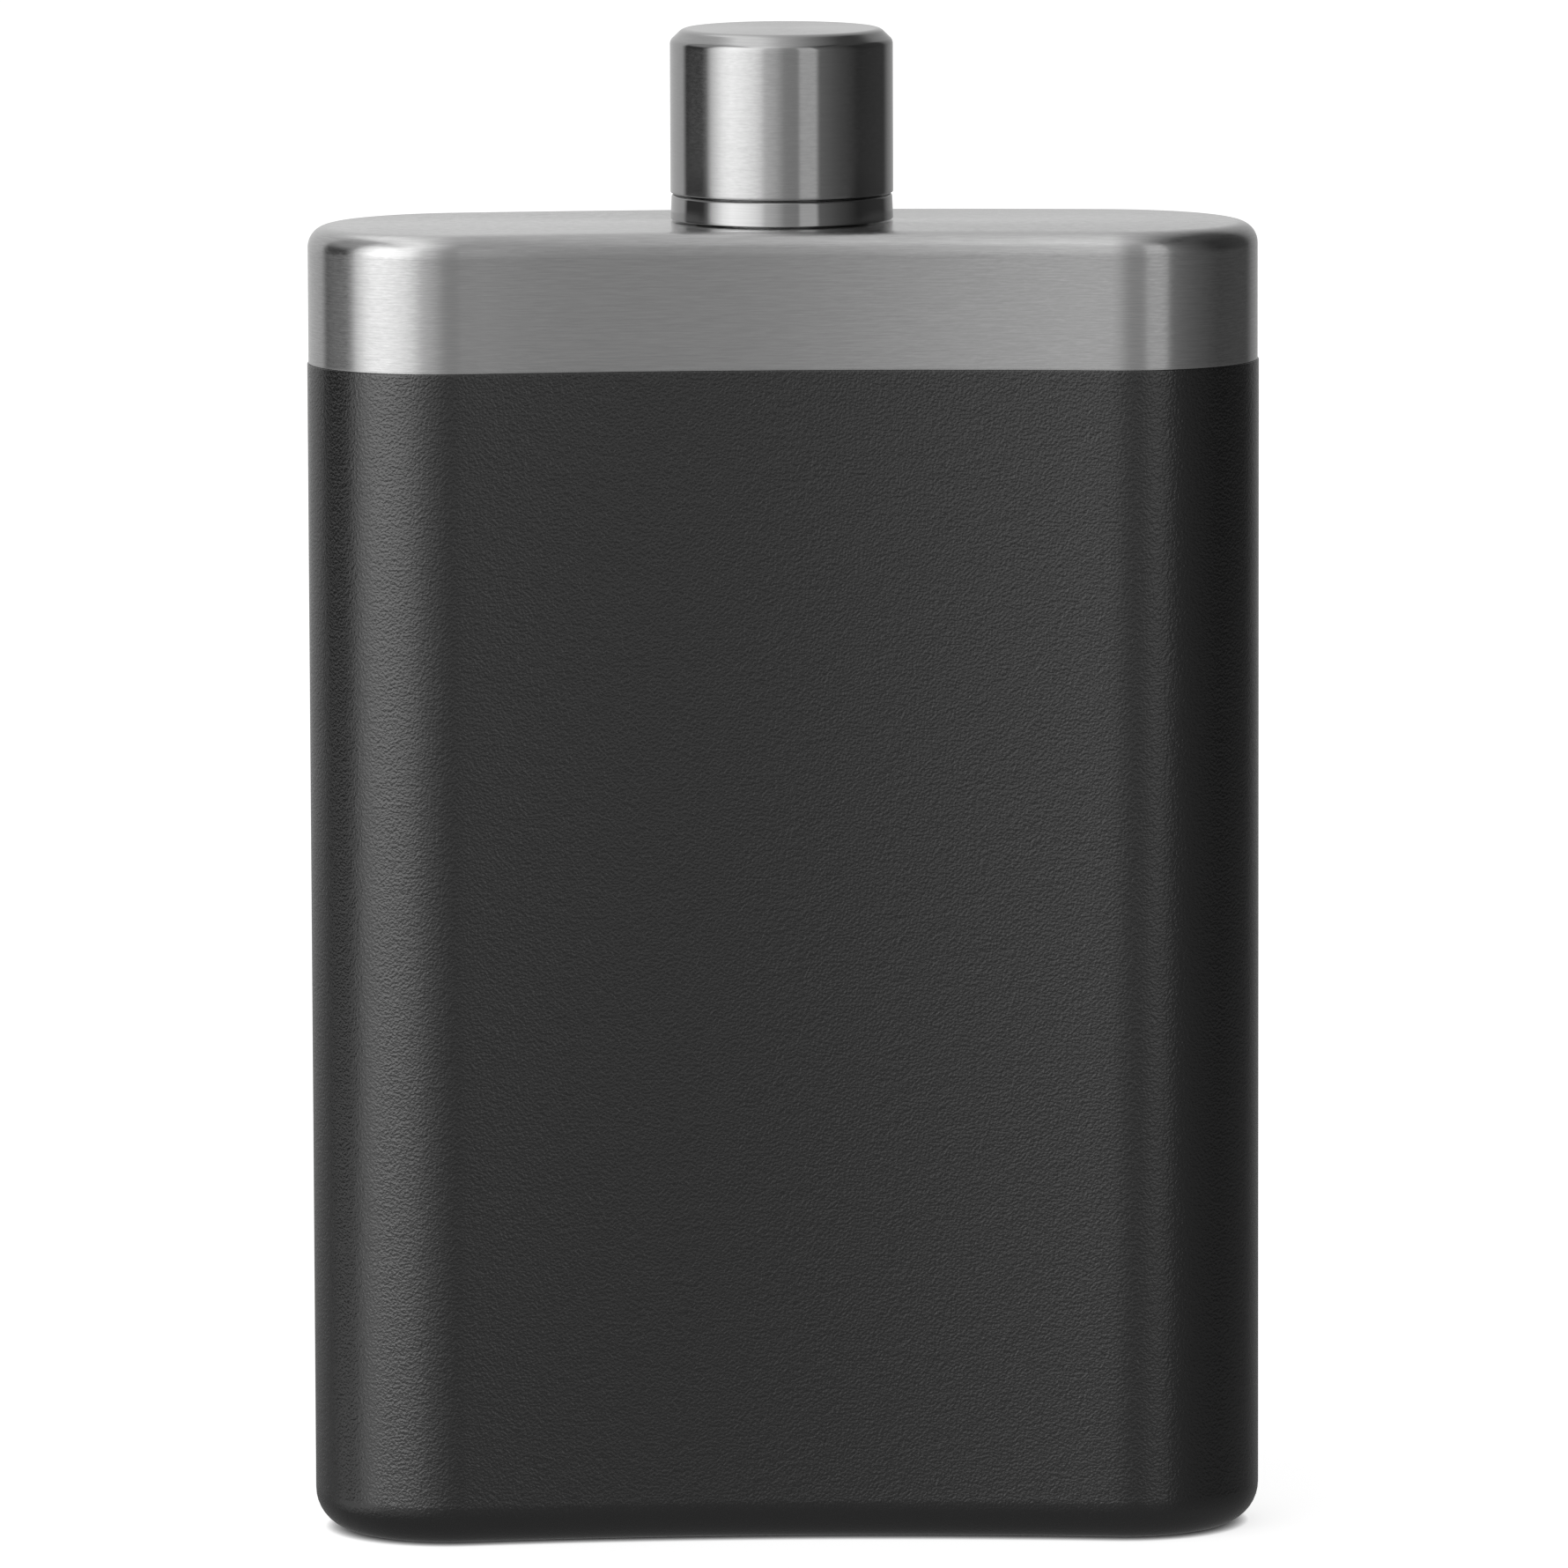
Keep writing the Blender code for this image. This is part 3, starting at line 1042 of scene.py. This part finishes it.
class FLASK_OT_stage(Operator):
    """Sets up the floor, the studio light and the camera"""

    bl_idname = "flask.stage"
    bl_label = "Stage"

    def execute(self, context):
        stage = context.scene.flask_stage
        self.add_floor(stage)
        self.light_studio(context)
        self.add_camera(context, stage)
        context.scene.view_settings.view_transform = "Standard"
        return {"FINISHED"}

    def add_floor(self, stage):
        """A floor that is white to the camera but for its real shadow and a painted contact shadow, and
        clear to reflections.
        """
        bpy.ops.object.select_all(action="DESELECT")
        bpy.ops.mesh.primitive_plane_add(size=stage.floor_size)
        floor = bpy.context.object
        floor.name = "floor"
        material = bpy.data.materials.new("floor_white")
        material.use_nodes = True
        nodes = Nodes(material.node_tree)
        nodes.tree.nodes.clear()
        output = nodes.add("ShaderNodeOutputMaterial")
        path = nodes.add("ShaderNodeLightPath")
        paper = nodes.add("ShaderNodeBsdfDiffuse")
        nodes.join(PAPER_GREY, paper.inputs["Color"])
        # Ambient occlusion dims the glow near the flask: a painted contact shadow over the paper's real
        # shadow
        painted_shadow_occlusion = nodes.add("ShaderNodeAmbientOcclusion", samples=8)
        painted_shadow_occlusion.inputs["Distance"].default_value = stage.painted_shadow_reach
        glow = nodes.add("ShaderNodeEmission")
        shadow = nodes.fade(painted_shadow_occlusion.outputs["AO"], 0.0, 1.0, 0.0, PAPER_GLOW, "LINEAR")
        nodes.join(shadow, glow.inputs["Strength"])
        lifted = nodes.add("ShaderNodeAddShader")
        nodes.join(paper.outputs[0], lifted.inputs[0])
        nodes.join(glow.outputs[0], lifted.inputs[1])
        clear = nodes.add("ShaderNodeBsdfTransparent")
        glossy = path.outputs["Is Glossy Ray"]
        mirrored = nodes.math("MAXIMUM", glossy, path.outputs["Is Transmission Ray"])
        seen = nodes.mix_shaders(path.outputs["Is Camera Ray"], paper.outputs[0], lifted.outputs[0])
        seen = nodes.mix_shaders(mirrored, seen, clear.outputs[0])
        nodes.join(seen, output.inputs["Surface"])
        floor.data.materials.append(material)

    def light_studio(self, context):
        """White to the camera; to the flask, a ring of lights and flags under a grey ceiling."""
        world = bpy.data.worlds.new("studio")
        context.scene.world = world
        world.use_nodes = True
        nodes = Nodes(world.node_tree)
        nodes.tree.nodes.clear()
        output = nodes.add("ShaderNodeOutputWorld")
        background = nodes.add("ShaderNodeBackground")
        split = nodes.add("ShaderNodeSeparateXYZ")
        nodes.join(nodes.add("ShaderNodeTexCoord").outputs["Generated"], split.inputs[0])
        right, back, up = split.outputs
        leftward = nodes.math("MULTIPLY", right, -1)
        frontward = nodes.math("MULTIPLY", back, -1)
        bearing = nodes.math("ARCTAN2", leftward, frontward)
        light = nodes.ramp(nodes.math("MULTIPLY", bearing, math.degrees(1)), STUDIO)
        left = nodes.fade(right, *LEFT_BAND, 0, 1)
        high = nodes.fade(up, *heights(HIGH_BAND), 0, HIGH_LEFT)
        light = nodes.math("MAXIMUM", light, nodes.math("MULTIPLY", left, high))
        bounce = nodes.fade(right, *FAR_LEFT_BAND, LOW_FRONT, LOW_LEFT)
        light = nodes.mix(nodes.fade(up, *heights(LOW_BAND), 0, LOW_SHARE), light, bounce)
        light = nodes.mix(nodes.fade(up, *heights(UNDER_BAND), 0, 1), light, UNDER)
        ceiling = nodes.ramp(right, CEILING)
        light = nodes.mix(nodes.fade(up, *heights(CEILING_BAND), 0, 1), light, ceiling)
        path = nodes.add("ShaderNodeLightPath")
        light = nodes.mix(path.outputs["Is Camera Ray"], light, 1.0)
        nodes.join(light, background.inputs["Color"])
        nodes.join(background.outputs[0], output.inputs["Surface"])

    def add_camera(self, context, stage):
        bpy.ops.object.camera_add()
        camera = context.object
        camera.name = "photo_camera"
        camera.data.sensor_width = SENSOR_WIDTH
        camera.data.lens = stage.lens
        aim = Matrix.Rotation(-stage.turn, 4, "Z")
        tilt = Matrix.Rotation(math.pi / 2 - stage.pitch, 4, "X")
        roll = Matrix.Rotation(-stage.roll, 4, "Z")
        walk = aim @ Vector((0, -stage.distance, stage.height))
        place = Matrix.Translation(walk + Vector((0, NECK_Y, 0)))
        camera.matrix_world = place @ aim @ tilt @ roll
        camera.data.clip_end = SIGHT
        context.scene.camera = camera


class FLASK_PT_pieces(Panel):
    """Lists the flask's pieces"""

    bl_idname = "FLASK_PT_pieces"
    bl_label = "Hip Flask"
    bl_space_type = "VIEW_3D"
    bl_region_type = "UI"
    bl_category = "Flask"

    def draw(self, context):
        scene = context.scene
        for group in (scene.flask_sizes, scene.flask_finishes, scene.flask_stage):
            box = self.layout.box()
            for name in group.__annotations__:
                box.prop(group, name)
        for operator in OPERATORS:
            self.layout.operator(operator.bl_idname)


GROUPS = (FlaskSizes, FlaskFinishes, FlaskStage)
OPERATORS = (
    FLASK_OT_stage,
    FLASK_OT_body_sleeve,
    FLASK_OT_base_plate,
    FLASK_OT_shoulder,
    FLASK_OT_neck,
    FLASK_OT_neck_collar,
    FLASK_OT_cap_shell,
    FLASK_OT_cap_liner,
    FLASK_OT_cap_seal,
)
CLASSES = (*GROUPS, *OPERATORS, FLASK_PT_pieces)


def register():
    for made in CLASSES:
        bpy.utils.register_class(made)
    bpy.types.Scene.flask_sizes = PointerProperty(type=FlaskSizes)
    bpy.types.Scene.flask_finishes = PointerProperty(type=FlaskFinishes)
    bpy.types.Scene.flask_stage = PointerProperty(type=FlaskStage)


def unregister():
    del bpy.types.Scene.flask_stage
    del bpy.types.Scene.flask_finishes
    del bpy.types.Scene.flask_sizes
    for made in reversed(CLASSES):
        bpy.utils.unregister_class(made)


def main():
    register()
    for operator in OPERATORS:
        group, name = operator.bl_idname.split(".")
        getattr(getattr(bpy.ops, group), name)()


if __name__ == "__main__":
    main()
